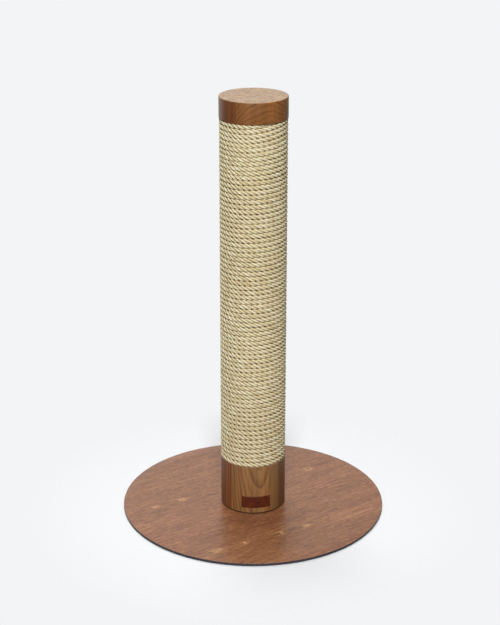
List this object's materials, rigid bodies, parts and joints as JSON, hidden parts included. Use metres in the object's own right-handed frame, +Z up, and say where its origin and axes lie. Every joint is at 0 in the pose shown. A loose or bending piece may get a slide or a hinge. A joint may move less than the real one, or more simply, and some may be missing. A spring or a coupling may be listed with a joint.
{
  "type": "cat scratching post",
  "caption": "Free-standing cat scratching post: a thin round base, a turned wooden foot, a tube wound with sisal rope and a wooden cap.",
  "frame": {"origin": "middle of the underside of the round base, on the floor", "axes": "+Z up along the post; -Y towards the side that carries the leather patch, near enough; +X to that side's right"},
  "size_m": [0.5, 0.5, 0.8018],
  "materials": {
    "underlay_felt": "matt black felt",
    "base_steel": "satin black powder coat",
    "base_wood": "matt brown wood veneer",
    "zinc_steel": "zinc plated",
    "insert_brass": "plain",
    "foot_wood": "satin oiled brown wood",
    "label_leather": "smooth dark red-brown",
    "tube_cardboard": "plain",
    "plug_wood": "raw plywood",
    "cap_wood": "satin oiled brown wood",
    "rope_sisal": "rough natural sisal fibre"
  },
  "bodies": {
    "root": {"base_underlay": "underlay_felt", "base_plate": "base_steel", "base_veneer": "base_wood", "base_screws": "zinc_steel", "foot_inserts": "insert_brass", "foot": "foot_wood", "label": "label_leather", "core_tube": "tube_cardboard", "foot_screws": "zinc_steel", "top_plug": "plug_wood", "plug_screws": "zinc_steel", "plug_insert": "insert_brass", "cap_stud": "zinc_steel", "cap_insert": "insert_brass", "cap": "cap_wood", "sisal_rope": "rope_sisal", "sisal_rope_upper": "rope_sisal"}
  },
  "joints": []
}
